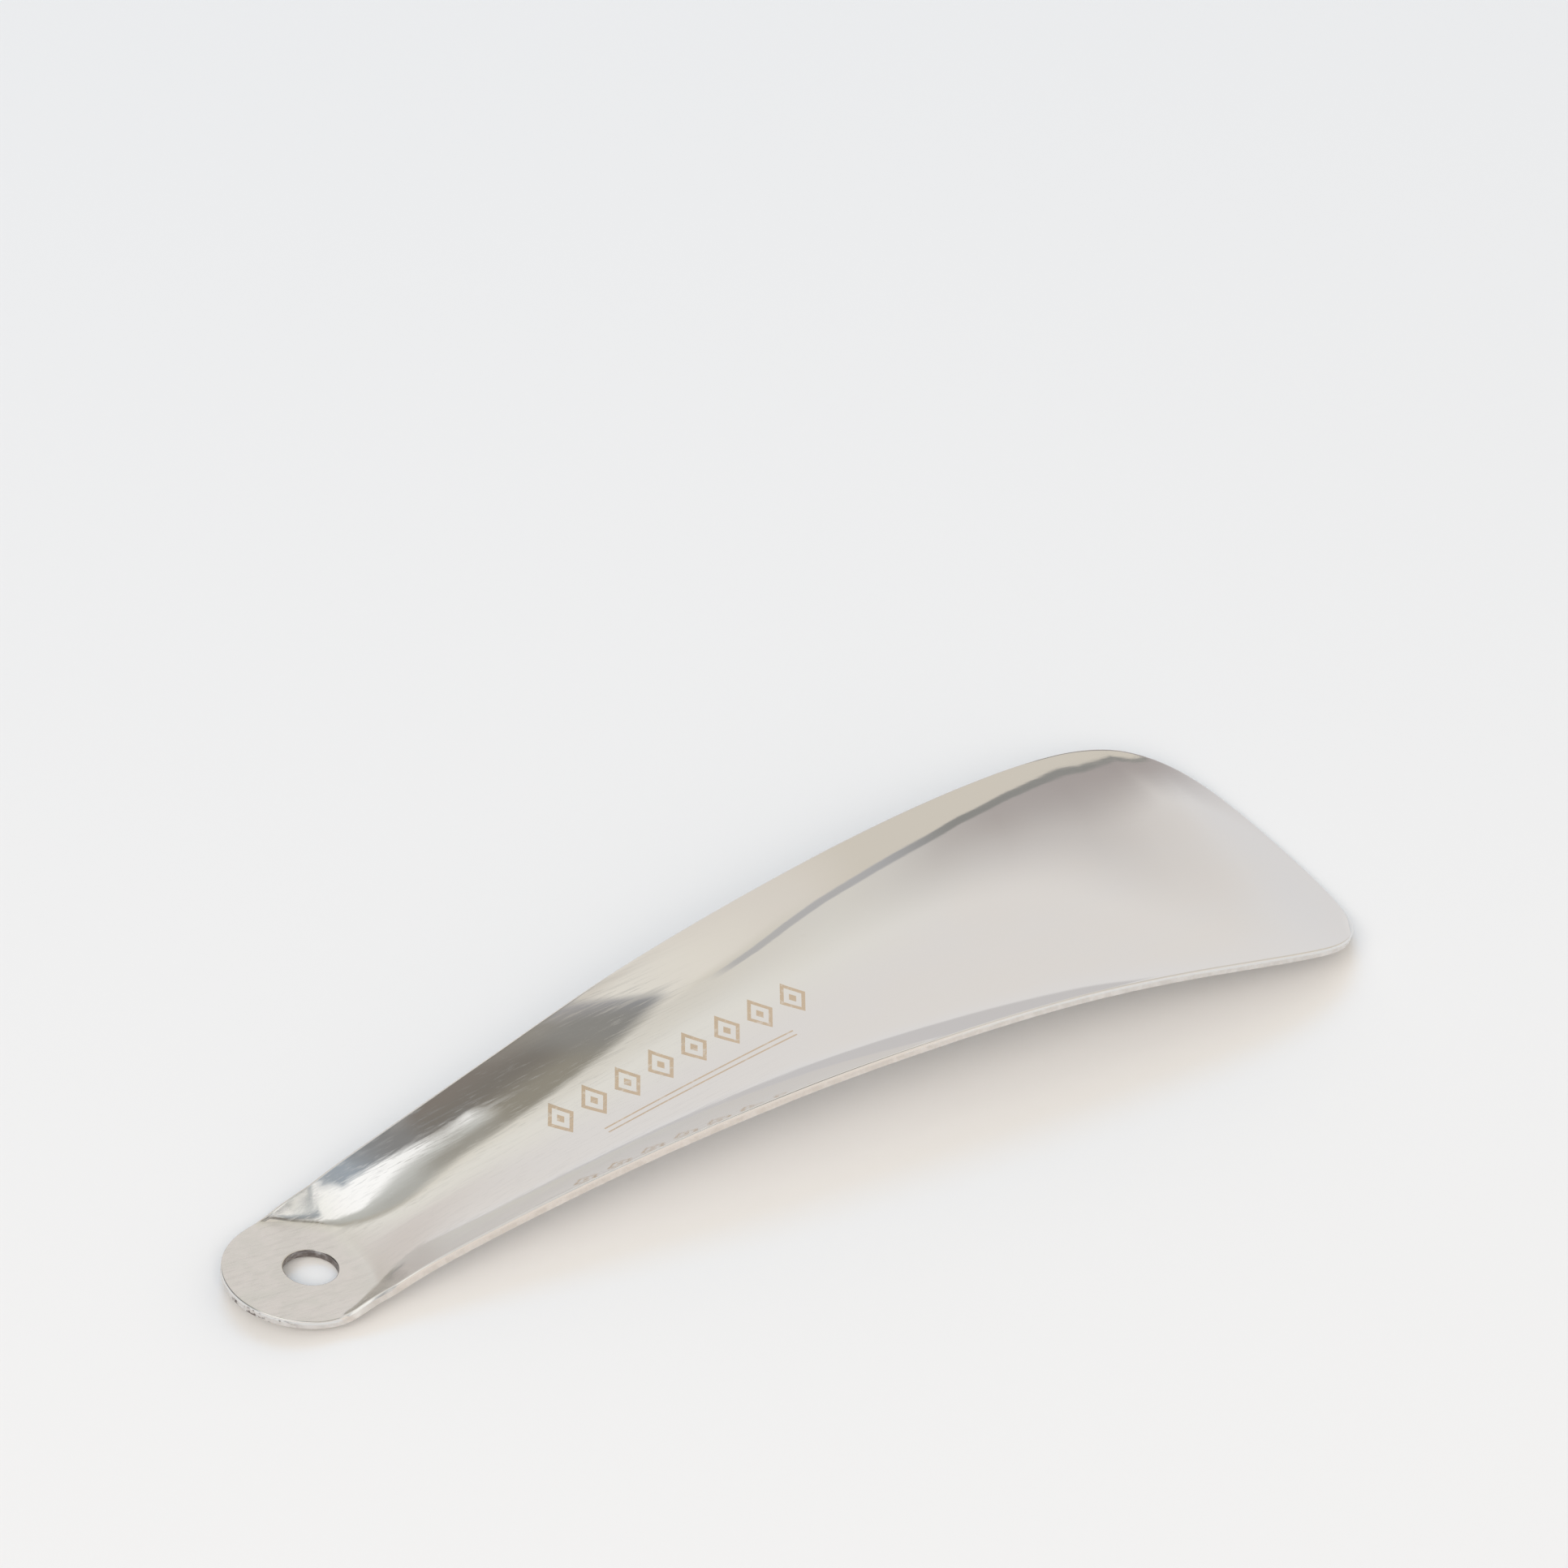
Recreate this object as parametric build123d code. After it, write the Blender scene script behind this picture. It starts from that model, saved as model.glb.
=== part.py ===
from build123d import *
import math, os

# ---------------------------------------------------------------- driving dimensions, millimetres
OVERALL_LENGTH = 138.3    # hang end to blade tip, along the table
SHEET = 1.0               # thickness of the steel sheet
HOLE_R = 3.0              # punched hang hole
TAB_R = 9.1               # radius of the rounded hang end
TAB_CENTRE_X = -0.5       # centre of that radius, hole axis is at x = 0
TAB_TOP_Z = 1.69          # top face of the tab at the hole axis
TAB_PITCH = -0.1736       # slope of the flat tab, hang end lifted off the table
BEND = 0.20               # softness of the bend between the tab and the channel floor
TIP_X = OVERALL_LENGTH + TAB_CENTRE_X - TAB_R
EDGE_BREAK = 0.12         # broken edges all round
SECTION_POWER = 2.1       # channel cross-section, 2 would be a parabola

# channel floor on the centreline: x, z of the inner face
FLOOR = [(5.0, 0.80), (8.0, 1.46), (12.0, 2.33), (18.0, 3.50), (24.0, 4.53), (30.0, 5.42), (38.0, 6.48),
         (46.0, 7.39), (54.0, 8.15), (62.0, 8.75), (70.0, 9.17), (78.0, 9.37), (86.0, 9.33), (94.0, 9.00),
         (102.0, 8.29), (108.0, 7.42), (114.0, 6.17), (118.0, 5.08), (122.8, 3.46), (128.7, 0.95), (132.0, -0.62)]
# half width of the outline: x, y
HALF_WIDTH = [(-0.5, 9.10), (2.5, 9.24), (5.0, 9.41), (8.4, 9.66), (14.0, 10.11), (18.0, 10.47), (24.0, 11.06),
              (30.0, 11.70), (38.0, 12.69), (46.0, 13.73), (54.0, 14.68), (62.0, 15.66), (70.0, 16.66), (78.0, 17.68),
              (86.0, 18.70), (94.0, 19.79), (100.5, 20.69), (105.2, 21.31), (109.7, 21.79), (113.7, 22.02)]
# rounded corner and the blade tip, continuing the outline: x, y
BLADE_END = [(117.2, 21.90), (120.2, 21.38), (122.75, 20.28), (125.0, 18.46), (126.8, 15.61), (128.05, 10.70),
             (128.55, 5.4)]
# how far the rim stands above the channel floor: x, rise
RIM_RISE = [(-14.0, 0.0), (-7.0, 0.0), (-4.2, 0.0), (-3.0, 0.06), (-1.7, 0.26), (-0.3, 0.72), (1.1, 1.38), (2.5, 2.02), (4.5, 2.72),
            (6.4, 3.08), (8.4, 3.24), (10.5, 3.30), (14.0, 3.31), (18.0, 3.34), (24.0, 3.42), (30.0, 3.55), (38.0, 3.76),
            (46.0, 3.86), (54.0, 3.79), (62.0, 3.58), (70.0, 3.31), (78.0, 3.04), (86.0, 2.70), (94.0, 2.24),
            (102.0, 1.76), (108.0, 1.46), (114.0, 1.25), (120.0, 1.02), (124.0, 0.78), (128.7, 0.45), (132.0, 0.30)]
# half width of the flat tongue that runs from the tab into the channel: x, y
TONGUE = [(-14.0, 9.4), (-4.0, 9.4), (-1.0, 9.3), (0.2, 9.0), (1.0, 8.5), (2.4, 7.55), (4.0, 6.55), (6.5, 5.20), (9.2, 3.95),
          (12.0, 2.95), (16.0, 1.9), (22.0, 1.0), (140.0, 1.0)]
GRID_Q = 30               # stations across the sheet


def slopes(pts):
    """Monotone cubic slopes at each station."""
    n = len(pts)
    h = [pts[i + 1][0] - pts[i][0] for i in range(n - 1)]
    d = [(pts[i + 1][1] - pts[i][1]) / h[i] for i in range(n - 1)]
    m = [d[0]] + [0.0] * (n - 2) + [d[-1]]
    for i in range(1, n - 1):
        if d[i - 1] * d[i] > 0:
            a, b = 2 * h[i] + h[i - 1], h[i] + 2 * h[i - 1]
            m[i] = (a + b) / (a / d[i - 1] + b / d[i])
    return m


def cubic(pts):
    """Natural cubic spline through the stations, straight beyond both ends."""
    n = len(pts)
    x = [p[0] for p in pts]
    y = [p[1] for p in pts]
    h = [x[i + 1] - x[i] for i in range(n - 1)]
    al = [0.0] + [3 * ((y[i + 1] - y[i]) / h[i] - (y[i] - y[i - 1]) / h[i - 1]) for i in range(1, n - 1)]
    l, mu, z = [1.0], [0.0], [0.0]
    for i in range(1, n - 1):
        l.append(2 * (x[i + 1] - x[i - 1]) - h[i - 1] * mu[i - 1])
        mu.append(h[i] / l[i])
        z.append((al[i] - h[i - 1] * z[i - 1]) / l[i])
    c = [0.0] * n
    b = [0.0] * n
    d = [0.0] * n
    for j in range(n - 2, -1, -1):
        c[j] = z[j] - mu[j] * c[j + 1]
        b[j] = (y[j + 1] - y[j]) / h[j] - h[j] * (c[j + 1] + 2 * c[j]) / 3
        d[j] = (c[j + 1] - c[j]) / (3 * h[j])
    e = b[n - 2] + 2 * c[n - 2] * h[n - 2] + 3 * d[n - 2] * h[n - 2] ** 2

    def f(t):
        if t <= x[0]:
            return y[0] + b[0] * (t - x[0])
        if t >= x[-1]:
            return y[-1] + e * (t - x[-1])
        j = max(i for i in range(n - 1) if x[i] <= t)
        s = t - x[j]
        return y[j] + b[j] * s + c[j] * s * s + d[j] * s ** 3
    return f


def monotone(pts):
    m = slopes(pts)

    def f(t):
        if t <= pts[0][0]:
            return pts[0][1]
        if t >= pts[-1][0]:
            return pts[-1][1]
        j = max(i for i in range(len(pts) - 1) if pts[i][0] <= t)
        h = pts[j + 1][0] - pts[j][0]
        s = (t - pts[j][0]) / h
        return ((2 * s ** 3 - 3 * s * s + 1) * pts[j][1] + (s ** 3 - 2 * s * s + s) * h * m[j]
                + (-2 * s ** 3 + 3 * s * s) * pts[j + 1][1] + (s ** 3 - s * s) * h * m[j + 1])
    return f


floor_run = cubic(FLOOR)
width_run = cubic(HALF_WIDTH)
rise = monotone(RIM_RISE)
tongue = monotone(TONGUE)


def floor_z(x):
    tab = TAB_TOP_Z + TAB_PITCH * x
    run = floor_run(x)
    return (tab + run) / 2 + math.sqrt(((tab - run) / 2) ** 2 + BEND ** 2) - 0.04


def half_width(x):
    """Width scale of the section; held constant past the round hang end and past the widest station."""
    if x < -0.5:
        return 9.10
    if x > 113.7:
        return 22.02
    return width_run(x)


def ramp(x, a, b):
    s = min(1.0, max(0.0, (x - a) / (b - a)))
    return s * s * (3 - 2 * s)


def section(x, y):
    """Rise of the inner face above the floor, as a share of the rim rise."""
    w = half_width(x)
    q = abs(y) / w
    k = 0.75 + 0.11 * max(0.0, x)
    yc = tongue(x)

    def knee(v):
        return ((v - yc) + math.sqrt((v - yc) ** 2 + k * k)) / 2
    crease = (knee(abs(y)) - knee(0.0)) / (knee(w) - knee(0.0))
    bowl = q ** SECTION_POWER
    m = ramp(x, 2.0, 24.0)
    return (1 - m) * crease + m * bowl


def inner_z(x, y):
    return floor_z(x) + rise(x) * section(x, y)


def stations():
    """Denser stations along the tab bend, coarser along the blade."""
    xs = []
    x = -12.0
    while x < 130.5:
        xs.append(x)
        x += 0.8 if -6.0 < x < 12.0 else (1.6 if x < 24.0 or x > 110.0 else 4.0)
    xs.append(132.0)
    return xs


def build():
    rows = []
    for x in stations():
        w = half_width(x)
        rows.append([(x, w * 1.09 * (2 * j / GRID_Q - 1), inner_z(x, w * 1.09 * (2 * j / GRID_Q - 1)))
                     for j in range(GRID_Q + 1)])
    inner = Face.make_surface_from_array_of_points([[Vector(*p) for p in r] for r in rows], tol=0.01,
                                                   min_deg=3, max_deg=3)
    # plan outline of the pressing
    arc_mid = (TAB_CENTRE_X - TAB_R, 0)
    start = (HALF_WIDTH[0][0], HALF_WIDTH[0][1])
    side = HALF_WIDTH + BLADE_END
    with BuildSketch() as plan:
        with BuildLine():
            ThreePointArc((start[0], -start[1]), arc_mid, start)
            up = Spline([(x, y) for x, y in side] + [(TIP_X, 0)], tangents=[(1, 0.0), (0, -1)])
            Spline([(x, -y) for x, y in side] + [(TIP_X, 0)], tangents=[(1, 0.0), (0, 1)])
        make_face()
    prism = extrude(plan.sketch, amount=40).moved(Location((0, 0, -12)))
    trimmed = inner.intersect(prism)
    faces = trimmed.faces() if hasattr(trimmed, "faces") else [f for t in trimmed for f in t.faces()]
    face = max(faces, key=lambda f: f.area)
    n = face.normal_at(face.center())
    if n.Z > 0:
        body = thicken(face, amount=-SHEET)
    else:
        body = thicken(face, amount=SHEET)
    body = body.solid() if hasattr(body, "solid") else body
    # broken edges along the whole outline, then the punched hole square to the tab
    body = fillet([e for e in body.edges() if e.length > 20], EDGE_BREAK)
    body = body.solid() if hasattr(body, "solid") else body
    tilt = math.degrees(math.atan(-TAB_PITCH))
    punch = Cylinder(HOLE_R, 12).rotate(Axis.Y, tilt).moved(Location((0, 0, TAB_TOP_Z)))
    body = body - punch
    body = body.solid() if hasattr(body, "solid") else body
    # origin at the bottom centre of the resting piece
    box = body.bounding_box()
    shift = Location((-(box.min.X + box.max.X) / 2, 0, -box.min.Z))
    print("shift", shift.position)
    return body.moved(shift)


if __name__ == "__main__":
    os.makedirs("parts", exist_ok=True)
    shoehorn = build()
    bb = shoehorn.bounding_box()
    print("valid", shoehorn.is_valid, "volume", round(shoehorn.volume, 1), "box", bb.min, bb.max, "faces", len(shoehorn.faces()),
          "edges", len(shoehorn.edges()))
    export_step(shoehorn, "parts/shoehorn_body.step")
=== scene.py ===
import math

import bmesh
import bpy
import numpy as np
from mathutils import Matrix, Vector
from mathutils.geometry import delaunay_2d_cdt


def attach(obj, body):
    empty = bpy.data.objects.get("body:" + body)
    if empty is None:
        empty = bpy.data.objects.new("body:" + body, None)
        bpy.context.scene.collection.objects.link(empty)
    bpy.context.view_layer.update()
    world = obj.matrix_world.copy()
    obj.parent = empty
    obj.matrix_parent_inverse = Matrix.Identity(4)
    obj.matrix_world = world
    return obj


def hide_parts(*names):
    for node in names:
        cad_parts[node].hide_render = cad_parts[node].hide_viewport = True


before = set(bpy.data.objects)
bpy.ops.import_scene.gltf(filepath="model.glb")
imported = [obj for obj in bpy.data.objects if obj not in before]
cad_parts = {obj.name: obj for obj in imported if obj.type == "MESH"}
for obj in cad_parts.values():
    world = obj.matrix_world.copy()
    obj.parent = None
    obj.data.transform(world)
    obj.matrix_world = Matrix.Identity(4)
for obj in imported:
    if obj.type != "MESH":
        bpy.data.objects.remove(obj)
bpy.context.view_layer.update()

# ------------------------------------------------------------------ the pressing's form, millimetres, as in the CAD
SHEET = 1.0
HOLE_R = 3.0
TAB_R, TAB_CENTRE_X = 9.1, -0.5
TAB_TOP_Z, TAB_PITCH, BEND = 1.69, -0.1736, 0.20
SECTION_POWER = 2.1
TIP_X = 128.7
SHIFT_X, SHIFT_Z = -59.4544, 0.0292

FLOOR = [(5.0, 0.80), (8.0, 1.46), (12.0, 2.33), (18.0, 3.50), (24.0, 4.53), (30.0, 5.42), (38.0, 6.48),
         (46.0, 7.39), (54.0, 8.15), (62.0, 8.75), (70.0, 9.17), (78.0, 9.37), (86.0, 9.33), (94.0, 9.00),
         (102.0, 8.29), (108.0, 7.42), (114.0, 6.17), (118.0, 5.08), (122.8, 3.46), (128.7, 0.95), (132.0, -0.62)]
HALF_WIDTH = [(-0.5, 9.10), (2.5, 9.24), (5.0, 9.41), (8.4, 9.66), (14.0, 10.11), (18.0, 10.47), (24.0, 11.06),
              (30.0, 11.70), (38.0, 12.69), (46.0, 13.73), (54.0, 14.68), (62.0, 15.66), (70.0, 16.66), (78.0, 17.68),
              (86.0, 18.70), (94.0, 19.79), (100.5, 20.69), (105.2, 21.31), (109.7, 21.79), (113.7, 22.02)]
BLADE_END = [(117.2, 21.90), (120.2, 21.38), (122.75, 20.28), (125.0, 18.46), (126.8, 15.61), (128.05, 10.70),
             (128.55, 5.4)]
RIM_RISE = [(-14.0, 0.0), (-7.0, 0.0), (-4.2, 0.0), (-3.0, 0.06), (-1.7, 0.26), (-0.3, 0.72), (1.1, 1.38), (2.5, 2.02), (4.5, 2.72),
            (6.4, 3.08), (8.4, 3.24), (10.5, 3.30), (14.0, 3.31), (18.0, 3.34), (24.0, 3.42), (30.0, 3.55), (38.0, 3.76),
            (46.0, 3.86), (54.0, 3.79), (62.0, 3.58), (70.0, 3.31), (78.0, 3.04), (86.0, 2.70), (94.0, 2.24),
            (102.0, 1.76), (108.0, 1.46), (114.0, 1.25), (120.0, 1.02), (124.0, 0.78), (128.7, 0.45), (132.0, 0.30)]
TONGUE = [(-14.0, 9.4), (-4.0, 9.4), (-1.0, 9.3), (0.2, 9.0), (1.0, 8.5), (2.4, 7.55), (4.0, 6.55), (6.5, 5.20), (9.2, 3.95),
          (12.0, 2.95), (16.0, 1.9), (22.0, 1.0), (140.0, 1.0)]


class Monotone:
    """Monotone cubic through the stations, flat beyond both ends."""

    def __init__(self, pts):
        self.x = np.array([p[0] for p in pts], float)
        self.y = np.array([p[1] for p in pts], float)
        h = np.diff(self.x)
        d = np.diff(self.y) / h
        m = np.zeros(len(self.x))
        m[0], m[-1] = d[0], d[-1]
        for i in range(1, len(m) - 1):
            if d[i - 1] * d[i] > 0:
                a, b = 2 * h[i] + h[i - 1], h[i] + 2 * h[i - 1]
                m[i] = (a + b) / (a / d[i - 1] + b / d[i])
        self.m = m

    def __call__(self, t):
        t = np.clip(np.asarray(t, float), self.x[0], self.x[-1])
        j = np.clip(np.searchsorted(self.x, t, side="right") - 1, 0, len(self.x) - 2)
        h = self.x[j + 1] - self.x[j]
        s = (t - self.x[j]) / h
        return ((2 * s ** 3 - 3 * s * s + 1) * self.y[j] + (s ** 3 - 2 * s * s + s) * h * self.m[j]
                + (-2 * s ** 3 + 3 * s * s) * self.y[j + 1] + (s ** 3 - s * s) * h * self.m[j + 1])


class Cubic:
    """Cubic spline through the stations, straight beyond both ends; clamp gives end slopes."""

    def __init__(self, x, y, clamp=None):
        x, y = np.asarray(x, float), np.asarray(y, float)
        n = len(x)
        h = np.diff(x)
        a = np.zeros((n, n))
        r = np.zeros(n)
        for i in range(1, n - 1):
            a[i, i - 1], a[i, i], a[i, i + 1] = h[i - 1], 2 * (h[i - 1] + h[i]), h[i]
            r[i] = 3 * ((y[i + 1] - y[i]) / h[i] - (y[i] - y[i - 1]) / h[i - 1])
        if clamp is None:
            a[0, 0] = a[-1, -1] = 1.0
        else:
            a[0, 0], a[0, 1], r[0] = 2 * h[0], h[0], 3 * ((y[1] - y[0]) / h[0] - clamp[0])
            a[-1, -2], a[-1, -1], r[-1] = h[-1], 2 * h[-1], 3 * (clamp[1] - (y[-1] - y[-2]) / h[-1])
        c = np.linalg.solve(a, r)
        self.x, self.y, self.c = x, y, c
        self.b = np.diff(y) / h - h * (c[1:] + 2 * c[:-1]) / 3
        self.d = np.diff(c) / (3 * h)
        self.e = self.b[-1] + 2 * c[-2] * h[-1] + 3 * self.d[-1] * h[-1] ** 2

    def __call__(self, t):
        t = np.asarray(t, float)
        j = np.clip(np.searchsorted(self.x, t, side="right") - 1, 0, len(self.x) - 2)
        s = t - self.x[j]
        v = self.y[j] + self.b[j] * s + self.c[j] * s * s + self.d[j] * s ** 3
        v = np.where(t < self.x[0], self.y[0] + self.b[0] * (t - self.x[0]), v)
        return np.where(t > self.x[-1], self.y[-1] + self.e * (t - self.x[-1]), v)


floor_run = Cubic(*zip(*FLOOR))
width_run = Cubic(*zip(*HALF_WIDTH))
rise = Monotone(RIM_RISE)
tongue = Monotone(TONGUE)


def half_width(x):
    x = np.asarray(x, float)
    return np.where(x < -0.5, 9.10, np.where(x > 113.7, 22.02, width_run(np.clip(x, -0.5, 113.7))))


def floor_z(x):
    tab = TAB_TOP_Z + TAB_PITCH * x
    run = floor_run(x)
    return (tab + run) / 2 + np.sqrt(((tab - run) / 2) ** 2 + BEND ** 2) - 0.04


def inner_z(x, y):
    w = half_width(x)
    k = 0.75 + 0.11 * np.maximum(0.0, x)
    yc = tongue(x)

    def knee(v):
        return ((v - yc) + np.sqrt((v - yc) ** 2 + k * k)) / 2
    crease = (knee(np.abs(y)) - knee(0.0)) / (knee(w) - knee(0.0))
    bowl = (np.abs(y) / w) ** SECTION_POWER
    s = np.clip((x - 2.0) / 22.0, 0, 1)
    m = s * s * (3 - 2 * s)
    return floor_z(x) + rise(x) * ((1 - m) * crease + m * bowl)


def inner(xy):
    return np.c_[xy, inner_z(xy[:, 0], xy[:, 1])]


def inner_normal(xy):
    h = 1e-3
    x, y = xy[:, 0], xy[:, 1]
    zx = (inner_z(x + h, y) - inner_z(x - h, y)) / (2 * h)
    zy = (inner_z(x, y + h) - inner_z(x, y - h)) / (2 * h)
    n = np.c_[-zx, -zy, np.ones(len(x))]
    return n / np.linalg.norm(n, axis=1)[:, None]


# ------------------------------------------------------------------ plan outline, closed loop, anticlockwise from the tip
def outline(step):
    side = np.array(HALF_WIDTH + BLADE_END + [(TIP_X, 0.0)])
    t = np.r_[0, np.cumsum(np.hypot(*np.diff(side, axis=0).T))]
    fx, fy = Cubic(t, side[:, 0], (1.0, 0.0)), Cubic(t, side[:, 1], (0.0, -1.0))
    u = np.linspace(0, t[-1], int(t[-1] / step) + 1)
    half = np.c_[fx(u), fy(u)]
    n = int(math.pi * TAB_R / 2 / step)
    a = np.linspace(math.pi, math.pi / 2, n, endpoint=False)
    arc = np.c_[TAB_CENTRE_X + TAB_R * np.cos(a), TAB_R * np.sin(a)]
    up = np.vstack([arc, half])                      # apex -> tip on the +Y side
    low = (up * [1, -1])[1:-1][::-1]                 # tip -> apex on the -Y side
    return np.vstack([up, low])[::-1]                # anticlockwise seen from above


def outward(loop):
    t = np.roll(loop, -1, 0) - np.roll(loop, 1, 0)
    n = np.c_[t[:, 1], -t[:, 0]]
    return n / np.hypot(*n.T)[:, None]


def edge_profile(r_top, r_low, seat, drag):
    """Inset and depth pairs across the cut edge, from the top face round to the underside.
    drag makes the broken-out lower part of the cut lean in or out a little."""
    p = [(seat, 0.0)]
    for k in range(0, 7):
        f = math.radians(15 * k)
        p.append((r_top * (1 - math.sin(f)), r_top * (1 - math.cos(f))))
    mid = 0.42 * SHEET
    p.append((0.0, mid - 0.05))
    p.append((0.006, mid))
    p.append((0.006 + drag * 0.4, mid + 0.14))
    p.append((drag * 0.7, SHEET - r_low - 0.12))
    for k in range(0, 5):
        f = math.radians(22.5 * k)
        p.append((drag + r_low * (1 - math.cos(f)), SHEET - r_low + r_low * math.sin(f)))
    p.append((seat, SHEET))
    return p


class Sheet:
    """Collects vertices with their exact normals, and faces."""

    def __init__(self):
        self.v, self.n, self.f, self.tag, self.uv, self.edge = [], [], [], [], [], []

    def add(self, pts, nrm, uv, edge):
        base = len(self.v)
        self.v += pts.tolist()
        self.n += nrm.tolist()
        self.uv += uv.tolist()
        self.edge += list(edge)
        return base


def ring(sheet, loop, out, profile, jitter=None):
    """Sweeps the edge profile round a loop. Returns the vertex rows, one per profile point."""
    rows = []
    inset = np.array([a for a, b in profile])
    depth = np.array([b for a, b in profile])
    count = len(loop)
    pos = []
    for k, (a, b) in enumerate(profile):
        xy = loop - out * a
        if jitter is not None and 0 < k < len(profile) - 1:
            xy = xy + out * jitter(k, b)[:, None]
        pos.append(inner(xy) - inner_normal(xy) * b)
    pos = np.array(pos)
    for k in range(len(profile)):
        if k == 0:
            nrm = inner_normal(loop - out * inset[0])
        elif k == len(profile) - 1:
            nrm = -inner_normal(loop - out * inset[-1])
        else:
            along = np.roll(pos[k], -1, 0) - np.roll(pos[k], 1, 0)
            across = pos[min(k + 1, len(profile) - 1)] - pos[k - 1]
            nrm = np.cross(across, along)
            nrm /= np.linalg.norm(nrm, axis=1)[:, None]
        s = np.c_[loop[:, 0], loop[:, 1]]
        rows.append((sheet.add(pos[k], nrm, s, np.full(count, depth[k] / SHEET if 0 < k < len(profile) - 1 else (0.0 if k == 0 else 1.0)))))
    return rows, pos


def build_mesh():
    sheet = Sheet()
    rng = np.random.default_rng(7)
    rim = outline(0.36)
    rim_out = outward(rim)
    n_rim = len(rim)
    arc = np.r_[0, np.cumsum(np.hypot(*np.diff(np.vstack([rim, rim[:1]]), axis=0).T))][:-1]

    def wave(seed, scale):
        r = np.random.default_rng(seed)
        out = np.zeros(n_rim)
        total = np.hypot(*np.diff(np.vstack([rim, rim[:1]]), axis=0).T).sum()
        for _ in range(28):
            k = max(1, int(r.uniform(0.3, 1.6) * total / scale))
            out += r.normal() * np.cos(2 * math.pi * k * arc / total + r.uniform(0, 6.28))
        return out / math.sqrt(28)
    low_a, low_b = wave(3, 2.2), wave(5, 1.1)

    def rim_jitter(k, b):
        if b < 0.40:
            return np.zeros(n_rim)
        amount = min(1.0, (b - 0.40) / 0.2)
        return amount * (0.006 * low_a + 0.003 * low_b)

    rim_profile = edge_profile(0.17, 0.09, 0.42, 0.02)
    rows, _ = ring(sheet, rim, rim_out, rim_profile, rim_jitter)
    for k in range(len(rows) - 1):
        for i in range(n_rim):
            j = (i + 1) % n_rim
            sheet.f.append((rows[k] + i, rows[k + 1] + i, rows[k + 1] + j, rows[k] + j))
            sheet.tag.append(0 if k < 4 or k >= len(rows) - 3 else 1)
    # hang hole, square to the tab
    n_hole = 120
    a = np.linspace(0, 2 * math.pi, n_hole, endpoint=False)
    tilt = math.cos(math.atan(TAB_PITCH))
    hole = np.c_[HOLE_R * np.cos(a) * tilt, HOLE_R * np.sin(a)]
    hole_out = -np.c_[np.cos(a), np.sin(a)]
    # the loop runs clockwise for the material, so its outward side points into the hole
    hole_profile = edge_profile(0.16, 0.08, 0.40, 0.03)
    hrows, _ = ring(sheet, hole[::-1], hole_out[::-1], hole_profile)
    for k in range(len(hrows) - 1):
        for i in range(n_hole):
            j = (i + 1) % n_hole
            sheet.f.append((hrows[k] + i, hrows[k + 1] + i, hrows[k + 1] + j, hrows[k] + j))
            sheet.tag.append(0 if k < 4 or k >= len(hrows) - 3 else 1)
    # faces of the sheet: a regular net inside, stitched to the edge rows
    rim_in = rim - rim_out * rim_profile[0][0]
    hole_in = (hole - hole_out * hole_profile[0][0])
    xs = []
    x = -9.3
    while x < TIP_X:
        xs.append(x)
        x += 0.42 if x < 14 else 0.62
    lines = 58
    pts = []
    for x in xs:
        w = float(half_width(x)) - 0.2
        q = (np.arange(lines) + 0.5) / lines * 2 - 1
        pts.append(np.c_[np.full(lines, x), q * w])
    pts = np.vstack(pts)

    def inside(p, loop):
        x, y = p[:, 0][:, None], p[:, 1][:, None]
        x0, y0 = loop[:, 0][None], loop[:, 1][None]
        x1, y1 = np.roll(loop[:, 0], -1)[None], np.roll(loop[:, 1], -1)[None]
        cross = ((y0 > y) != (y1 > y)) & (x < (x1 - x0) * (y - y0) / (y1 - y0 + 1e-12) + x0)
        return cross.sum(1) % 2 == 1

    def distance(p, loop):
        best = np.full(len(p), 1e9)
        for s in range(0, len(p), 2000):
            c = p[s:s + 2000]
            best[s:s + 2000] = np.sqrt(((c[:, None, :] - loop[None]) ** 2).sum(2).min(1))
        return best
    keep = inside(pts, rim_in) & ~inside(pts, hole_in)
    pts = pts[keep]
    pts = pts[(distance(pts, rim_in) > 0.24) & (distance(pts, hole_in) > 0.2)]
    verts = [Vector(p) for p in rim_in] + [Vector(p) for p in hole_in] + [Vector(p) for p in pts]
    n_in = len(rim_in) + len(hole_in)
    edges = [(i, (i + 1) % n_rim) for i in range(n_rim)]
    edges += [(n_rim + i, n_rim + (i + 1) % n_hole) for i in range(n_hole)]
    out_v, _, out_f, orig, _, _ = delaunay_2d_cdt(verts, edges, [], 0, 1e-7, True)
    out_xy = np.array([tuple(v) for v in out_v])
    source = [o[0] if o else -1 for o in orig]
    tri = np.array([f for f in out_f if len(f) == 3])
    mid = out_xy[tri].mean(1)
    good = inside(mid, rim_in) & ~inside(mid, hole_in)
    tri = tri[good]
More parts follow.
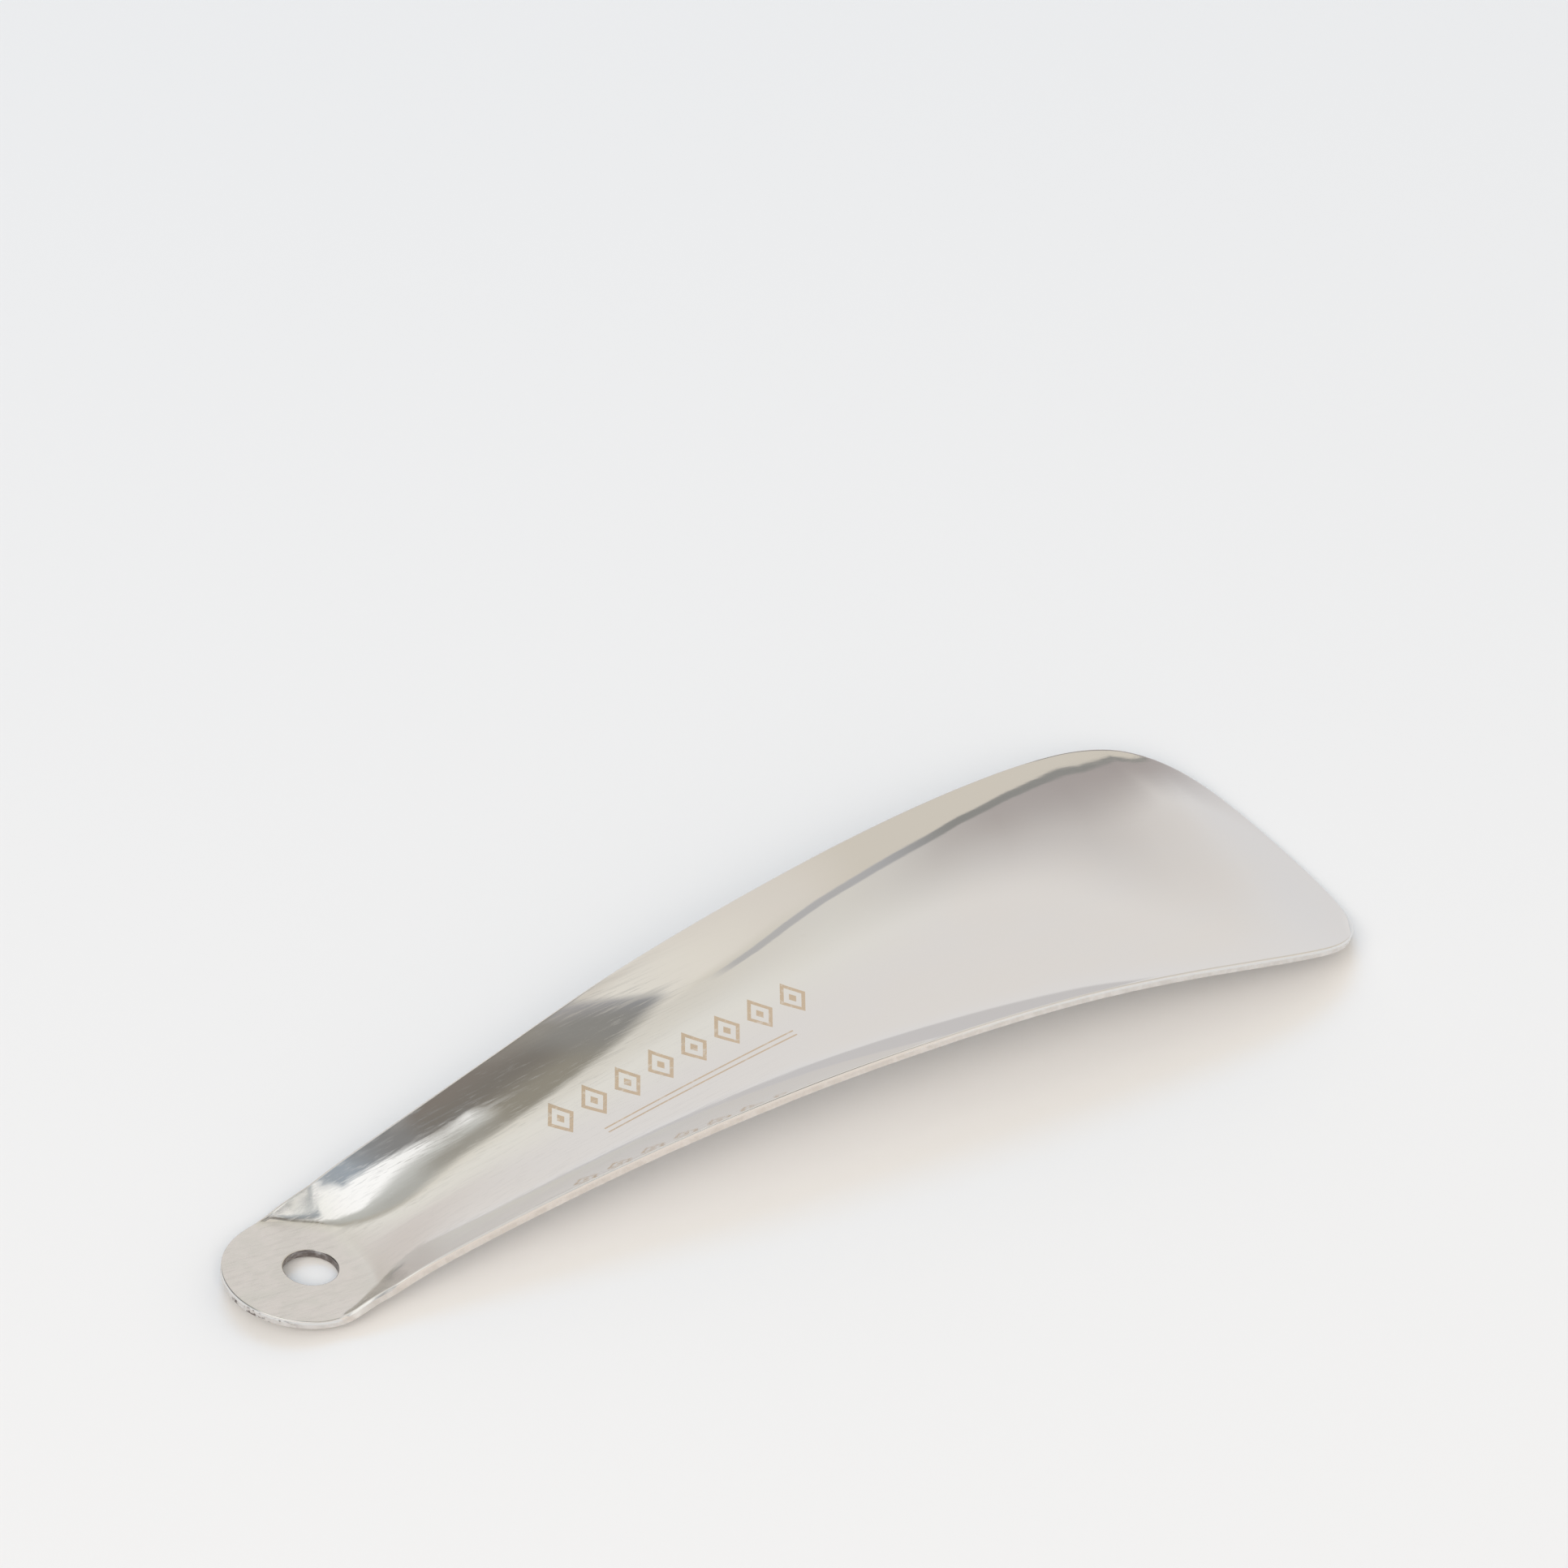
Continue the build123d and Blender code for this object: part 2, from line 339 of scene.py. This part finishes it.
    # top face vertices: edge rows reuse the swept rows' first ring
    hole_map = {i: hrows[0] + (n_hole - 1 - i) for i in range(n_hole)}
    hole_map_low = {i: hrows[-1] + (n_hole - 1 - i) for i in range(n_hole)}
    top_index, low_index, new = {}, {}, []
    for v in range(len(out_xy)):
        s = source[v]
        if 0 <= s < n_rim:
            top_index[v], low_index[v] = rows[0] + s, rows[-1] + s
        elif n_rim <= s < n_rim + n_hole:
            top_index[v], low_index[v] = hole_map[s - n_rim], hole_map_low[s - n_rim]
        else:
            new.append(v)
    xy = out_xy[new]
    nrm = inner_normal(xy)
    pos = inner(xy)
    b = sheet.add(pos, nrm, xy, np.zeros(len(xy)))
    c = sheet.add(pos - nrm * SHEET, -nrm, xy, np.ones(len(xy)))
    for i, v in enumerate(new):
        top_index[v], low_index[v] = b + i, c + i
    for t in tri:
        p = out_xy[t]
        area = (p[1, 0] - p[0, 0]) * (p[2, 1] - p[0, 1]) - (p[2, 0] - p[0, 0]) * (p[1, 1] - p[0, 1])
        t = t if area > 0 else t[::-1]
        sheet.f.append(tuple(top_index[v] for v in t))
        sheet.tag.append(0)
        sheet.f.append(tuple(low_index[v] for v in t[::-1]))
        sheet.tag.append(0)
    return sheet


def make_object(sheet):
    mesh = bpy.data.meshes.new("shoehorn_pressing")
    v = (np.array(sheet.v) + [SHIFT_X, 0, SHIFT_Z]) / 1000.0
    mesh.from_pydata(v.tolist(), [], sheet.f)
    for p, t in zip(mesh.polygons, sheet.tag):
        p.material_index = t
        p.use_smooth = True
    att = mesh.attributes.new("cut_depth", "FLOAT", "POINT")
    att.data.foreach_set("value", np.array(sheet.edge, dtype=np.float32))
    top = mesh.attributes.new("hollow_side", "FLOAT", "POINT")
    nz = np.array(sheet.n)[:, 2]
    top.data.foreach_set("value", (nz > 0).astype(np.float32))
    uvl = mesh.uv_layers.new(name="flat")
    uv = np.array(sheet.uv) / 100.0
    idx = np.zeros(len(mesh.loops), dtype=np.int32)
    mesh.loops.foreach_get("vertex_index", idx)
    uvl.data.foreach_set("uv", uv[idx].astype(np.float32).ravel())
    # quads wherever two triangles of the net make one
    bm = bmesh.new()
    bm.from_mesh(mesh)
    bmesh.ops.recalc_face_normals(bm, faces=bm.faces)
    tris = [f for f in bm.faces if len(f.verts) == 3]
    bmesh.ops.join_triangles(bm, faces=tris, angle_face_threshold=math.radians(12), angle_shape_threshold=math.radians(28),
                             cmp_materials=True)
    bm.to_mesh(mesh)
    bm.free()
    mesh.update()
    if len(mesh.vertices) == len(sheet.n):
        mesh.normals_split_custom_set_from_vertices(np.array(sheet.n).tolist())
    ob = bpy.data.objects.new("shoehorn_pressing", mesh)
    bpy.context.scene.collection.objects.link(ob)
    return ob


# ------------------------------------------------------------------ node helpers
class Nodes:
    def __init__(self, tree):
        self.t = tree
        self.x = 0

    def new(self, kind, **props):
        n = self.t.nodes.new(kind)
        for k, v in props.items():
            setattr(n, k, v)
        self.x += 40
        n.location = (self.x, 0)
        return n

    def put(self, socket, value):
        if isinstance(value, bpy.types.NodeSocket):
            self.t.links.new(value, socket)
        else:
            socket.default_value = value

    def math(self, op, a, b=None, c=None, clamp=False):
        n = self.new("ShaderNodeMath", operation=op, use_clamp=clamp)
        self.put(n.inputs[0], a)
        if b is not None:
            self.put(n.inputs[1], b)
        if c is not None:
            self.put(n.inputs[2], c)
        return n.outputs[0]

    def step(self, value, lo, hi, a=0.0, b=1.0):
        """Smooth step of value from a at lo to b at hi."""
        n = self.new("ShaderNodeMapRange", interpolation_type="SMOOTHSTEP")
        if lo > hi:
            lo, hi, a, b = hi, lo, b, a
        for i, v in enumerate((value, lo, hi, a, b)):
            self.put(n.inputs[i], v)
        return n.outputs[0]

    def mix(self, f, a, b):
        n = self.new("ShaderNodeMix", data_type="RGBA")
        self.put(n.inputs[0], f)
        self.put(n.inputs[6], a if isinstance(a, bpy.types.NodeSocket) else (*a, 1.0))
        self.put(n.inputs[7], b if isinstance(b, bpy.types.NodeSocket) else (*b, 1.0))
        return n.outputs[2]

    def track(self, value, pts):
        """Straight runs between the stations, level beyond both ends."""
        total = pts[0][1]
        for (x0, y0), (x1, y1) in zip(pts, pts[1:]):
            n = self.new("ShaderNodeMapRange", interpolation_type="LINEAR", clamp=True)
            for i, v in enumerate((value, x0, x1, 0.0, y1 - y0)):
                self.put(n.inputs[i], v)
            total = self.math("ADD", n.outputs[0], total)
        return total

    def noise(self, vec, scale, detail=2.0, rough=0.5, distortion=0.0):
        n = self.new("ShaderNodeTexNoise")
        self.put(n.inputs["Vector"], vec)
        n.inputs["Scale"].default_value = scale
        n.inputs["Detail"].default_value = detail
        n.inputs["Roughness"].default_value = rough
        n.inputs["Distortion"].default_value = distortion
        return n.outputs["Fac"]

    def scaled(self, vec, s, off=(0, 0, 0)):
        n = self.new("ShaderNodeMapping")
        self.put(n.inputs["Vector"], vec)
        n.inputs["Scale"].default_value = s
        n.inputs["Location"].default_value = off
        return n.outputs[0]


def srgb(r, g, b, gain=1.0):
    out = []
    for c in (r, g, b):
        c /= 255.0
        out.append(gain * (c / 12.92 if c <= 0.04045 else ((c + 0.055) / 1.055) ** 2.4))
    return tuple(out)


# ------------------------------------------------------------------ materials
STEEL = (0.79, 0.79, 0.79)


def steel_material():
    m = bpy.data.materials.new("polished_steel")
    m.use_nodes = True
    t = m.node_tree
    t.nodes.clear()
    N = Nodes(t)
    out = N.new("ShaderNodeOutputMaterial")
    bsdf = N.new("ShaderNodeBsdfPrincipled")
    t.links.new(bsdf.outputs[0], out.inputs[0])
    bsdf.inputs["Metallic"].default_value = 1.0
    bsdf.inputs["Anisotropic"].default_value = 0.45
    bsdf.inputs["Anisotropic Rotation"].default_value = 0.25
    tan = N.new("ShaderNodeTangent", direction_type="UV_MAP", uv_map="flat")
    t.links.new(tan.outputs[0], bsdf.inputs["Tangent"])
    obj = N.new("ShaderNodeTexCoord").outputs["Object"]
    sep = N.new("ShaderNodeSeparateXYZ")
    N.put(sep.inputs[0], obj)
    x, y = sep.outputs[0], sep.outputs[1]
    # 1 on the flat hang end, which kept its mill finish, falling to 0 up the neck
    tab = N.step(x, -0.0500, -0.0560)
    neck = N.step(x, -0.0330, -0.0500)
    cloud = N.noise(N.scaled(obj, (60, 90, 60)), 1.0, 3.0, 0.55)
    mottle = N.noise(N.scaled(obj, (330, 420, 330), (1.0, 0.4, 0.0)), 1.0, 4.0, 0.6, 0.6)
    blot = N.noise(N.scaled(obj, (150, 230, 150), (3.1, 1.7, 0.0)), 1.0, 2.0, 0.5, 0.4)
    col = N.mix(N.step(cloud, 0.38, 0.70), (0.790, 0.790, 0.792), (0.794, 0.788, 0.782))
    dull = N.mix(N.step(mottle, 0.36, 0.66), (0.700, 0.692, 0.662), (0.742, 0.722, 0.700))
    dull = N.mix(N.step(blot, 0.58, 0.72, 0.0, 0.5), dull, (0.690, 0.700, 0.655))
    col = N.mix(N.math("MULTIPLY", tab, 0.9), col, dull)
    col = N.mix(N.step(blot, 0.74, 0.80, 0.0, 0.14), col, (0.70, 0.67, 0.65))
    # light etched trim along the middle of the channel: a run of lozenges over a fine double rule
    cell = 0.0043
    run = N.math("SUBTRACT", x, -0.0292)
    place = N.math("ABSOLUTE", N.math("SUBTRACT", N.math("WRAP", run, cell, 0.0), cell / 2))
    rise_ = N.math("ABSOLUTE", N.math("SUBTRACT", y, 0.0016))
    lozenge = N.math("MULTIPLY_ADD", rise_, 0.62, place)
    shape = N.math("SUBTRACT", N.step(lozenge, 0.00168, 0.00162), N.step(lozenge, 0.00118, 0.00112))
    shape = N.math("MAXIMUM", shape, N.step(lozenge, 0.00050, 0.00044))
    long = N.math("MULTIPLY", N.step(run, 0.0, 0.00002), N.step(run, 8 * cell, 8 * cell - 0.00002))
    shape = N.math("MULTIPLY", shape, long)
    rule = N.math("ABSOLUTE", N.math("SUBTRACT", N.math("ABSOLUTE", N.math("ADD", y, 0.0034)), 0.00042))
    rule = N.math("MULTIPLY", N.step(rule, 0.00014, 0.00009),
                  N.math("MULTIPLY", N.step(run, 0.0050, 0.00505), N.step(run, 0.0294, 0.02935)))
    etch = N.math("MAXIMUM", shape, rule)
    worn = N.noise(N.scaled(obj, (1500, 1500, 1500)), 1.0, 2.0, 0.6)
    etch = N.math("MULTIPLY", etch, N.step(worn, 0.30, 0.46, 0.62, 1.0))
    col = N.mix(etch, col, (0.660, 0.545, 0.425))
    # lengthwise polishing grain, coarser on the neck than on the blade
    grain = N.noise(N.scaled(obj, (110, 4200, 2400)), 1.0, 3.0, 0.65)
    coarse = N.noise(N.scaled(obj, (40, 1500, 700)), 1.0, 2.0, 0.5)
    smudge = N.noise(N.scaled(obj, (90, 130, 90), (5.0, 0.0, 0.0)), 1.0, 4.0, 0.6)
    rough = N.math("MULTIPLY_ADD", grain, 0.022, 0.012)
    rough = N.math("MULTIPLY_ADD", neck, 0.02, rough)
    bar = N.step(x, 0.0020, -0.0140)
    hair = N.noise(N.scaled(obj, (130, 5200, 3000), (0.3, 0.9, 0.0)), 1.0, 2.0, 0.6)
    broad = N.noise(N.scaled(obj, (60, 2300, 1300), (1.9, 0.1, 0.0)), 1.0, 2.0, 0.5)
    streak = N.math("MAXIMUM", N.step(hair, 0.50, 0.72), N.math("MULTIPLY", N.step(broad, 0.50, 0.70), 0.7))
    streak = N.math("MULTIPLY", streak, N.math("MULTIPLY_ADD", bar, 0.9, 0.1))
    rough = N.math("MULTIPLY_ADD", streak, 0.15, rough)
    rough = N.math("MULTIPLY_ADD", tab, 0.10, rough)
    rough = N.math("ADD", rough, N.step(smudge, 0.55, 0.80, 0.0, 0.018))
    rough = N.math("MULTIPLY_ADD", etch, 0.25, rough)
    N.put(bsdf.inputs["Roughness"], rough)
    N.put(bsdf.inputs["Base Color"], N.mix(N.math("MULTIPLY", streak, 0.16), col, (0.62, 0.625, 0.635)))
    h = N.math("ADD", N.math("MULTIPLY", grain, 0.5), N.math("MULTIPLY", coarse, 0.8))
    h = N.math("MULTIPLY", h, N.math("MULTIPLY_ADD", bar, 2.4, 0.35))
    bump = N.new("ShaderNodeBump")
    bump.inputs["Strength"].default_value = 1.0
    bump.inputs["Distance"].default_value = 0.0000012
    N.put(bump.inputs["Height"], h)
    t.links.new(bump.outputs[0], bsdf.inputs["Normal"])
    return m


def edge_material():
    m = bpy.data.materials.new("sheared_edge")
    m.use_nodes = True
    t = m.node_tree
    t.nodes.clear()
    N = Nodes(t)
    out = N.new("ShaderNodeOutputMaterial")
    bsdf = N.new("ShaderNodeBsdfPrincipled")
    t.links.new(bsdf.outputs[0], out.inputs[0])
    bsdf.inputs["Metallic"].default_value = 1.0
    depth = N.new("ShaderNodeAttribute", attribute_name="cut_depth").outputs["Fac"]
    obj = N.new("ShaderNodeTexCoord").outputs["Object"]
    sep = N.new("ShaderNodeSeparateXYZ")
    N.put(sep.inputs[0], obj)
    x, y = sep.outputs[0], sep.outputs[1]
    wob = N.noise(N.scaled(obj, (260, 260, 260)), 1.0, 3.0, 0.6)
    d = N.math("ADD", depth, N.math("MULTIPLY_ADD", wob, 0.24, -0.12))
    low = N.step(d, 0.34, 0.46)
    mott = N.noise(N.scaled(obj, (900, 900, 900), (1.3, 0.2, 0.0)), 1.0, 4.0, 0.65)
    torn = N.mix(N.step(mott, 0.35, 0.68), (0.70, 0.665, 0.63), (0.79, 0.76, 0.73))
    col = N.mix(low, (0.80, 0.79, 0.77), torn)
    # painted shade: a dark brown reflection of the shaded table under the tab, painted on the hang hole's wall; also
    # dark flecks in patches on the cut edge round the hang end's tip
    wall = N.math("SQRT", N.math("MULTIPLY_ADD", N.math("ADD", x, 0.05945), N.math("ADD", x, 0.05945), N.math("MULTIPLY", y, y)))
    hole = N.step(wall, 0.0040, 0.0036)
    fleck = N.noise(N.scaled(obj, (520, 520, 700), (0.7, 2.2, 0.0)), 1.0, 3.0, 0.7)
    tip = N.math("MULTIPLY", N.step(x, -0.0640, -0.0662), N.math("MULTIPLY", N.step(y, 0.0015, -0.0005), N.step(y, -0.0082, -0.0060)))
    hole_shade_and_flecks = N.math("MULTIPLY", N.math("MAXIMUM", N.step(fleck, 0.50, 0.60, 0.0, 0.9), 0.0), N.math("MULTIPLY", tip, N.step(depth, 0.10, 0.35)))
    # the hang hole's wall gets painted shade, a dark reflection of the shaded table beneath the tab
    hole_shade_and_flecks = N.math("MAXIMUM", hole_shade_and_flecks, N.math("MULTIPLY", hole, N.step(fleck, 0.30, 0.62, 0.35, 0.95)))
    col = N.mix(hole_shade_and_flecks, col, (0.165, 0.135, 0.125))
    N.put(bsdf.inputs["Base Color"], col)
    rough = N.math("MULTIPLY_ADD", low, 0.24, 0.14)
    N.put(bsdf.inputs["Roughness"], N.math("MULTIPLY_ADD", hole_shade_and_flecks, 0.1, rough))
    bump = N.new("ShaderNodeBump")
    bump.inputs["Strength"].default_value = 1.0
    bump.inputs["Distance"].default_value = 0.000004
    N.put(bump.inputs["Height"], N.math("MULTIPLY", mott, low))
    t.links.new(bump.outputs[0], bsdf.inputs["Normal"])
    return m


def floor_material():
    m = bpy.data.materials.new("pale_table")
    m.use_nodes = True
    t = m.node_tree
    bsdf = t.nodes["Principled BSDF"]
    bsdf.inputs["Roughness"].default_value = 0.9
    bsdf.inputs["Specular IOR Level"].default_value = 0.1
    N = Nodes(t)
    obj = N.new("ShaderNodeTexCoord").outputs["Object"]
    v = N.noise(N.scaled(obj, (3, 3, 3)), 1.0, 3.0, 0.5)
    N.put(bsdf.inputs["Base Color"], N.mix(v, (0.797, 0.801, 0.802), (0.803, 0.807, 0.808)))
    return m


# ------------------------------------------------------------------ studio: a pale room with a soft panel and dark ceiling gear
REFLECT = 0.79
STEEL_REF = (0.79, 0.79, 0.79)
AMBIENT = (0.27, 0.275, 0.28)
FRONT = (0.80, 0.785, 0.77)
LOW = (0.92, 0.84, 0.77)
PANEL = (1.16, 1.15, 1.13)


def lit(r, g, b):
    return tuple(c / REFLECT for c in srgb(r, g, b))


# where the room's far corner runs, degrees from the zenith: towards +X, towards +Y
CORNER = [(14.0, 9.5), (18.7, 12.0), (20.5, 13.0), (23.1, 13.6), (25.3, 14.7), (27.6, 16.6), (30.2, 18.8), (33.3, 21.5),
          (36.8, 24.8), (40.1, 28.2), (43.7, 31.7), (47.5, 34.9), (51.9, 37.8), (58.2, 41.4), (64.5, 46.6), (90.0, 67.0), (120.0, 92.0)]


def sky(N, dx, dy, dz):
    """A pale room seen from the table: two walls meeting in a corner, a soft panel at the near left and dark rigging overhead."""
    theta = N.math("MULTIPLY", N.math("ARCCOSINE", N.math("MINIMUM", N.math("MAXIMUM", dz, -1.0), 1.0)), 180 / math.pi)
    flat = N.math("SQRT", N.math("MULTIPLY_ADD", dx, dx, N.math("MULTIPLY_ADD", dy, dy, 1e-9)))
    u = N.math("MULTIPLY", theta, N.math("DIVIDE", dx, flat))      # degrees from the zenith towards +X
    v = N.math("MULTIPLY", theta, N.math("DIVIDE", dy, flat))      # degrees from the zenith towards +Y
    az = N.math("MULTIPLY", N.math("ARCTAN2", dx, dy), 180 / math.pi)

    def both(*terms):
        out = terms[0]
        for t in terms[1:]:
            out = N.math("MULTIPLY", out, t)
        return out
    # main wall: warmer towards the ceiling and towards its left end
    wall = N.mix(N.step(theta, 72, 84), lit(217, 213, 209), lit(216, 214, 213))
    wall = N.mix(N.step(theta, 52, 30), wall, lit(220, 217, 209))
    wall = N.mix(N.step(theta, 30, 20), wall, lit(219, 215, 204))
    wall = N.mix(both(N.step(az, 15, 1), N.step(theta, 28, 50)), wall, lit(204, 197, 191))
    # shade gathering towards the corner
    side = N.math("MULTIPLY", N.math("SUBTRACT", N.track(u, CORNER), v), 0.77)   # degrees past the corner
    broad = N.track(theta, [(24, 0.22), (32, 0.26), (36, 0.36), (42, 0.62), (50, 0.80), (60, 0.62), (68, 0.30), (78, 0.10)])
    close = N.track(theta, [(40, 0.0), (50, 0.35), (60, 0.75), (70, 0.90), (80, 0.85)])
    wall = N.mix(N.math("MULTIPLY", N.step(side, -15.0, -1.5), broad), wall, lit(163, 156, 152))
    reach = N.track(theta, [(60, 6.0), (68, 4.2), (74, 2.8), (80, 2.3), (86, 3.0)])
    wall = N.mix(N.math("MULTIPLY", N.step(N.math("DIVIDE", side, reach), -1.0, -0.08), close), wall, lit(156, 148, 145))
    # the cream wall past the corner
    cream = N.mix(N.step(theta, 34, 26), lit(203, 196, 184), lit(212, 206, 197))
    cream = N.mix(N.step(theta, 27, 19), cream, lit(219, 214, 204))
    cream = N.mix(both(N.step(side, 4.0, 0.5), N.step(theta, 30, 24), N.step(u, 15, 18)), cream, lit(205, 200, 189))
    cream = N.mix(N.step(v, -9, -19), cream, lit(196, 190, 180))
    wide = N.track(theta, [(26, 0.95), (36, 0.85), (44, 0.70), (50, 0.55), (56, 0.42), (62, 0.32), (68, 0.20), (76, 0.12), (84, 0.10)])
    near = N.math("DIVIDE", side, wide)
    wall = N.mix(N.step(near, 0.6, 1.25), wall, cream)
    # skirting: everything close to the horizon is a shade darker
    wall = N.mix(both(N.step(theta, 79.2, 80.4), N.step(az, 45, 40), N.step(az, 3, 8)), wall, lit(193, 190, 189))
    # the joint itself
    joint = N.step(N.math("ABSOLUTE", near), 1.15, 0.75)
    joint = both(joint, N.step(u, 17.6, 19.8), N.track(theta, [(22, 0.72), (34, 0.9), (44, 1.0)]))
    wall = N.mix(joint, wall, N.mix(N.step(theta, 32, 46), lit(166, 165, 166), lit(138, 137, 133)))
    # grey stretch of ceiling beyond the panel
    grey = N.mix(N.step(u, -3, -12), lit(172, 171, 165), lit(186, 186, 180))
    grey = N.mix(N.step(v, 14, 2), grey, lit(192, 192, 187))
    grey = N.mix(N.step(v, 17, 24), grey, lit(176, 172, 162))
    past = N.math("MULTIPLY_ADD", u, 1.1, v)
    col = N.mix(both(N.step(past, 27.5, 19.0), N.step(u, 9.5, 6.0)), wall, grey)
    # the soft panel
    lift = N.math("MULTIPLY_ADD", N.step(u, -7, -12), -4.5, v)
    panel = N.mix(both(N.step(u, 2, 6), N.step(v, -16, -4)), lit(249, 248, 245), lit(242, 241, 238))
    col = N.mix(both(N.step(lift, 5.0, -1.8), N.step(u, 8.2, 6.4)), col, panel)
    col = N.mix(N.step(v, -30, -42), col, lit(232, 230, 226))
    # a slim blue-grey strut slanting across the panel
    arm = N.math("MULTIPLY_ADD", u, -0.70, v)
    strut = both(N.step(arm, -8.9, -10.2), N.step(arm, -22.0, -19.5), N.step(u, 9.5, 8.0), N.step(u, -11.0, -6.5), N.step(v, -36, -28))
    strut = N.math("MAXIMUM", strut, both(N.step(arm, -17.0, -19.0), N.step(u, -4.5, -2.5), N.step(u, 4.5, 3.0), N.step(v, -38, -33, 0.0, 0.8)))
    tone = N.mix(N.step(u, -2, 6.5), lit(154, 161, 167), lit(130, 129, 127))
    col = N.mix(strut, col, tone)
    col = N.mix(both(N.step(arm, -18.0, -20.0), N.step(u, 4.0, 6.0), N.step(u, 9.5, 8.0), N.step(v, -30, -22)), col, lit(140, 138, 135))
    # the dark bar overhead: sharp long sides, its far end cut on a slant and fading
    end = N.math("MULTIPLY_ADD", v, 0.78, u)
    bar = both(N.step(u, 6.7, 8.0), N.step(u, 16.9, 15.9), N.step(end, 22.6, 18.2))
    tail = both(N.step(u, 2.5, 7.0), N.step(end, 23.5, 19.5), N.step(v, 25, 15), N.step(v, 5, 11))
    dark = N.mix(N.step(v, 8, -8), lit(142, 137, 125), lit(121, 116, 109))
    dark = N.mix(N.step(v, -9, -20), dark, lit(126, 119, 112))
    dark = N.mix(N.step(u, 10.5, 13.5), dark, N.mix(N.step(v, -8, -18), lit(136, 134, 129), lit(144, 140, 132)))
    dark = N.mix(N.step(u, 14.2, 16.6), dark, N.mix(N.step(v, 0, -10), lit(144, 144, 145), lit(160, 158, 158)))
    col = N.mix(N.math("MULTIPLY", tail, 0.85), col, lit(146, 142, 132))
    col = N.mix(bar, col, dark)
    # the rest of the room, behind and beside the camera: dim, the soft panel reaching down at the near left
    seen = N.math("MAXIMUM", both(N.step(az, -14, -8), N.step(az, 122, 116)), N.step(theta, 46, 41))
    rest = N.mix(N.step(az, 110, 124), AMBIENT, FRONT)
    rest = N.mix(both(N.math("ADD", N.step(az, -92, -100), N.step(az, 112, 122)), N.step(theta, 60, 66)), rest, LOW)
    rest = N.mix(both(N.step(az, -84, -104), N.step(az, -180, -168), N.step(theta, 66, 56)), rest, PANEL)
    col = N.mix(seen, rest, col)
    # what the table hides is plain
    return N.mix(N.step(theta, 89, 91), col, lit(222, 220, 217))


def studio():
    w = bpy.data.worlds.new("studio")
    bpy.context.scene.world = w
    w.use_nodes = True
    t = w.node_tree
    t.nodes.clear()
    N = Nodes(t)
    out = N.new("ShaderNodeOutputWorld")
    bg = N.new("ShaderNodeBackground")
    t.links.new(bg.outputs[0], out.inputs[0])
    sep = N.new("ShaderNodeSeparateXYZ")
    N.put(sep.inputs[0], N.new("ShaderNodeTexCoord").outputs["Generated"])
    N.put(bg.inputs["Color"], sky(N, *sep.outputs))
    bg.inputs["Strength"].default_value = 1.0


def camera():
    cam = bpy.data.cameras.new("camera")
    cam.sensor_width = 36.0
    cam.lens = 144.0856
    cam.clip_start, cam.clip_end = 0.01, 50.0
    ob = bpy.data.objects.new("camera", cam)
    bpy.context.scene.collection.objects.link(ob)
    right = Vector((0.84325928, -0.53717485, -0.01889349))
    up = Vector((0.34879661, 0.52012142, 0.77962467))
    back = right.cross(up)
    rot = Matrix((right, up, back)).transposed().to_4x4()
    ob.matrix_world = Matrix.Translation((-0.27392575, -0.44739794, 0.46265784)) @ rot
    bpy.context.scene.camera = ob


def table():
    bm = bmesh.new()
    n = 24
    size = 1.6
    grid = [[bm.verts.new((size * (i / n * 2 - 1), size * (j / n * 2 - 1), 0.0)) for j in range(n + 1)] for i in range(n + 1)]
    for i in range(n):
        for j in range(n):
            bm.faces.new((grid[i][j], grid[i + 1][j], grid[i + 1][j + 1], grid[i][j + 1]))
    mesh = bpy.data.meshes.new("table")
    bm.to_mesh(mesh)
    bm.free()
    ob = bpy.data.objects.new("table", mesh)
    bpy.context.scene.collection.objects.link(ob)
    mesh.materials.append(floor_material())
    return ob


def soft_light(name, place, size, energy, color):
    """A broad lamp for the table's soft shade. The metal mirrors the room, not the lamp."""
    lamp = bpy.data.lights.new(name, "AREA")
    lamp.shape = "RECTANGLE"
    lamp.size, lamp.size_y = size
    lamp.energy = energy
    lamp.color = color
    ob = bpy.data.objects.new(name, lamp)
    bpy.context.scene.collection.objects.link(ob)
    ob.location = place
    ob.rotation_euler = (-Vector(place)).to_track_quat("-Z", "Y").to_euler()
    ob.visible_glossy = False


bpy.context.scene.view_settings.view_transform = "Standard"
bpy.context.scene.view_settings.look = "None"
camera()
table()
studio()
soft_light("near_left_lamp", (-1.089, -1.253, 1.443), (2.3, 0.9), 29.3, (1.0, 0.895, 0.80))
soft_light("window", (0.30, 0.75, 1.45), (0.9, 0.7), 4.4, (0.06, 0.47, 1.0))
piece = make_object(build_mesh())
piece.data.materials.append(steel_material())
piece.data.materials.append(edge_material())
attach(piece, "root")
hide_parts("shoehorn_body")
